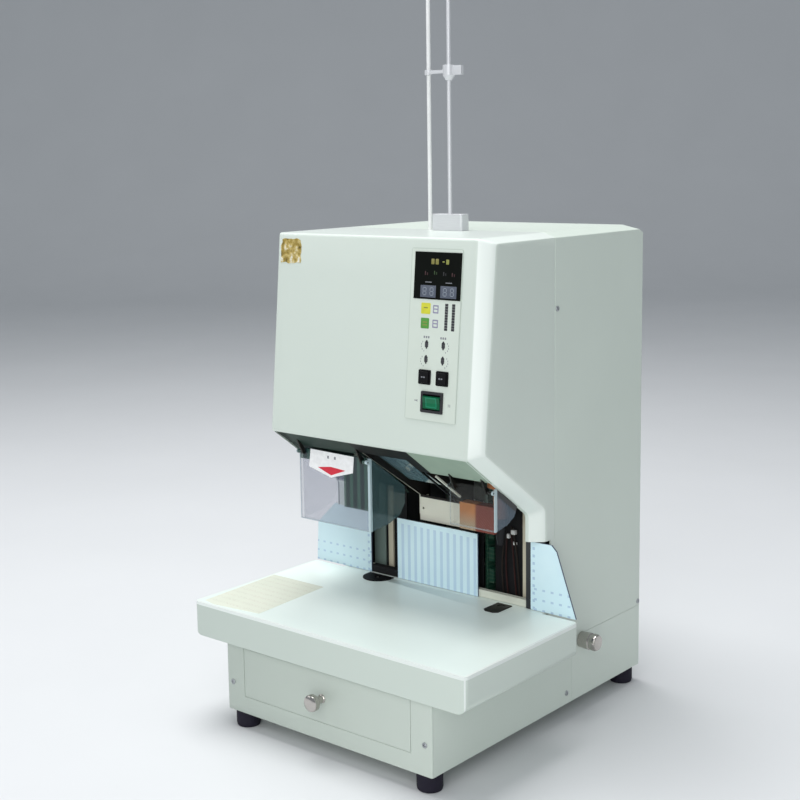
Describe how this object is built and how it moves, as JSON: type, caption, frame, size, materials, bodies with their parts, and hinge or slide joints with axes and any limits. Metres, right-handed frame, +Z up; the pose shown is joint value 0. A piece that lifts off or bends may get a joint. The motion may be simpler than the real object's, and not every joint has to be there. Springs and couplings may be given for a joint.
{
  "type": "document riveting machine",
  "caption": "Desk machine that drills a paper stack at one station and closes a nylon tube through the hole at the other, with sloping head, clear guards, work table and waste drawer",
  "frame": {"origin": "bottom centre of the bounding box, on the desk under the machine", "axes": "+X to the machine's right as its user faces it, +Y to the rear, +Z up"},
  "size_m": [0.42, 0.468, 1.033],
  "materials": {
    "cream_paint": "satin powder coat",
    "cream_moulding": "satin moulding",
    "inner_paint": "matt paint",
    "table_laminate": "satin moulding",
    "rubber": "matt",
    "black_plastic": "matt",
    "blackened_steel": "blackened",
    "bright_steel": "turned",
    "sheet_steel": "zinc plated",
    "grey_castings": "painted grey",
    "aluminium": "machined",
    "copper_laminations": "varnished laminations",
    "board_green": "circuit board",
    "trough_white": "white inside paint",
    "lens": "clear grey-green",
    "panel_film": "printed film",
    "smoked_window": "gloss",
    "lamp_red": "gloss",
    "rocker_green": "gloss",
    "button_black": "satin",
    "nylon_white": "natural nylon",
    "pipe_brass": "drawn",
    "motor_grey": "satin",
    "roller_rubber": "matt",
    "belt_rubber": "matt",
    "rivet_copper": "heated steel",
    "acrylic": "clear",
    "fence_blue": "satin",
    "screw_zinc": "plated"
  },
  "bodies": {
    "machine": {"base_pan": "cream_paint", "front_shell": "cream_paint", "rear_cover": "cream_paint", "head_cover": "cream_moulding", "underside_panel": "inner_paint", "work_table": "table_laminate", "rubber_feet": "rubber", "drill_pad": "black_plastic", "anvil_plate": "blackened_steel", "cover_screws": "screw_zinc", "mains_inlet": "black_plastic", "side_frames": "sheet_steel", "bed_plate": "grey_castings", "top_bridge": "grey_castings", "guide_columns": "bright_steel", "transformer": "copper_laminations", "control_board": "board_green", "terminal_board": "board_green", "lamp_trough": "trough_white", "lamp_lens": "lens", "panel_plate": "panel_film", "display_window": "smoked_window", "display_board": "board_green", "indicator_lamps": "lamp_red", "rocker_frame": "black_plastic", "rod_block": "aluminium", "guide_rod": "bright_steel", "tube_guide": "pipe_brass", "feed_frame": "sheet_steel", "feed_motor": "motor_grey", "screw_motors": "motor_grey", "lower_rivet_head": "rivet_copper", "hinge_pins": "bright_steel"},
    "drill_head": {"drill_carriage": "aluminium", "drill_motor": "motor_grey", "drive_belt": "belt_rubber"},
    "drill_rotor": {"motor_pulley": "bright_steel"},
    "drill_spindle": {"drill_spindle": "bright_steel", "hollow_drill": "bright_steel"},
    "drill_screw": {"drill_feed_screw": "bright_steel"},
    "rivet_head": {"rivet_carriage": "aluminium", "rivet_punch": "rivet_copper"},
    "rivet_screw": {"rivet_feed_screw": "bright_steel"},
    "tube": {"nylon_tube": "nylon_white"},
    "drive_roller": {"drive_roller": "roller_rubber"},
    "pinch_roller": {"pinch_roller": "aluminium"},
    "tube_clip": {"tube_clip": "aluminium"},
    "drill_guard": {"drill_guard": "acrylic"},
    "rivet_guard": {"rivet_guard": "acrylic"},
    "left_button": {"left_button": "button_black"},
    "right_button": {"right_button": "button_black"},
    "power_rocker": {"power_rocker": "rocker_green"},
    "fences": {"centre_fence": "fence_blue", "left_fence": "fence_blue", "right_fence": "fence_blue", "fence_bar": "cream_paint", "fence_rack": "sheet_steel"},
    "fence_knob": {"fence_shaft": "bright_steel"},
    "drawer": {"waste_drawer": "cream_paint", "drawer_knob": "bright_steel"}
  },
  "joints": [
    {"name": "drill_head_slide", "type": "slide", "parent": "machine", "child": "drill_head", "axis": [0, 0, -1], "range_m": [0, 0.076]},
    {"name": "drill_spindle_spin", "type": "hinge", "parent": "drill_head", "child": "drill_spindle", "pos_m": [-0.091, -0.005, 0.4], "axis": [0, 0, 1], "continuous": true},
    {"name": "drill_rotor_spin", "type": "hinge", "parent": "drill_head", "child": "drill_rotor", "pos_m": [-0.091, 0.123, 0.43], "axis": [0, 0, 1], "continuous": true},
    {"name": "drill_screw_turn", "type": "hinge", "parent": "machine", "child": "drill_screw", "pos_m": [-0.091, 0.05, 0.3], "axis": [0, 0, 1], "range_deg": [0, 2740]},
    {"name": "rivet_head_slide", "type": "slide", "parent": "machine", "child": "rivet_head", "axis": [0, 0, -1], "range_m": [0, 0.076]},
    {"name": "rivet_screw_turn", "type": "hinge", "parent": "machine", "child": "rivet_screw", "pos_m": [0.105, 0.05, 0.3], "axis": [0, 0, 1], "range_deg": [0, 2740]},
    {"name": "tube_feed", "type": "slide", "parent": "machine", "child": "tube", "axis": [0, 0, -1], "range_m": [-0.3, 0.003]},
    {"name": "drive_roller_turn", "type": "hinge", "parent": "machine", "child": "drive_roller", "pos_m": [-0.03155, 0.024, 0.577], "axis": [0, 1, 0], "range_deg": [-1905, 25]},
    {"name": "pinch_roller_turn", "type": "hinge", "parent": "machine", "child": "pinch_roller", "pos_m": [-0.00845, 0.024, 0.577], "axis": [0, 1, 0], "range_deg": [-25, 1905]},
    {"name": "clip_slide", "type": "slide", "parent": "machine", "child": "tube_clip", "axis": [0, 0, 1], "range_m": [-0.15, 0.15]},
    {"name": "drill_guard_hinge", "type": "hinge", "parent": "machine", "child": "drill_guard", "pos_m": [0, -0.0955, 0.32843], "axis": [-1, 0, 0], "range_deg": [0, 75]},
    {"name": "rivet_guard_hinge", "type": "hinge", "parent": "machine", "child": "rivet_guard", "pos_m": [0, -0.07, 0.30991], "axis": [-1, 0, 0], "range_deg": [0, 75]},
    {"name": "left_button_press", "type": "slide", "parent": "machine", "child": "left_button", "axis": [0, 0.9956, -0.0941], "range_m": [0, 0.002], "stiffness_N_per_m": 800, "springref_m": -0.002},
    {"name": "right_button_press", "type": "slide", "parent": "machine", "child": "right_button", "axis": [0, 0.9956, -0.0941], "range_m": [0, 0.002], "stiffness_N_per_m": 800, "springref_m": -0.002},
    {"name": "power_rocker_tilt", "type": "hinge", "parent": "machine", "child": "power_rocker", "pos_m": [0.092, -0.11437, 0.41736], "axis": [-1, 0, 0], "range_deg": [0, 16]},
    {"name": "fence_travel", "type": "slide", "parent": "machine", "child": "fences", "axis": [0, 1, 0], "range_m": [-0.003, 0.006]},
    {"name": "fence_knob_turn", "type": "hinge", "parent": "machine", "child": "fence_knob", "pos_m": [0.155, 0.088, 0.096], "axis": [1, 0, 0], "range_deg": [-45, 25]},
    {"name": "drawer_slide", "type": "slide", "parent": "machine", "child": "drawer", "axis": [0, -1, 0], "range_m": [0, 0.18]}
  ],
  "couplings": [
    {"joint": "drill_rotor_spin", "follows": "drill_spindle_spin", "ratio": 1},
    {"joint": "drill_screw_turn", "follows": "drill_head_slide", "rad_per_m": 628.32},
    {"joint": "rivet_screw_turn", "follows": "rivet_head_slide", "rad_per_m": 628.32},
    {"joint": "drive_roller_turn", "follows": "tube_feed", "rad_per_m": 110.5},
    {"joint": "pinch_roller_turn", "follows": "tube_feed", "rad_per_m": -110.5},
    {"joint": "fence_knob_turn", "follows": "fence_travel", "rad_per_m": -125}
  ]
}
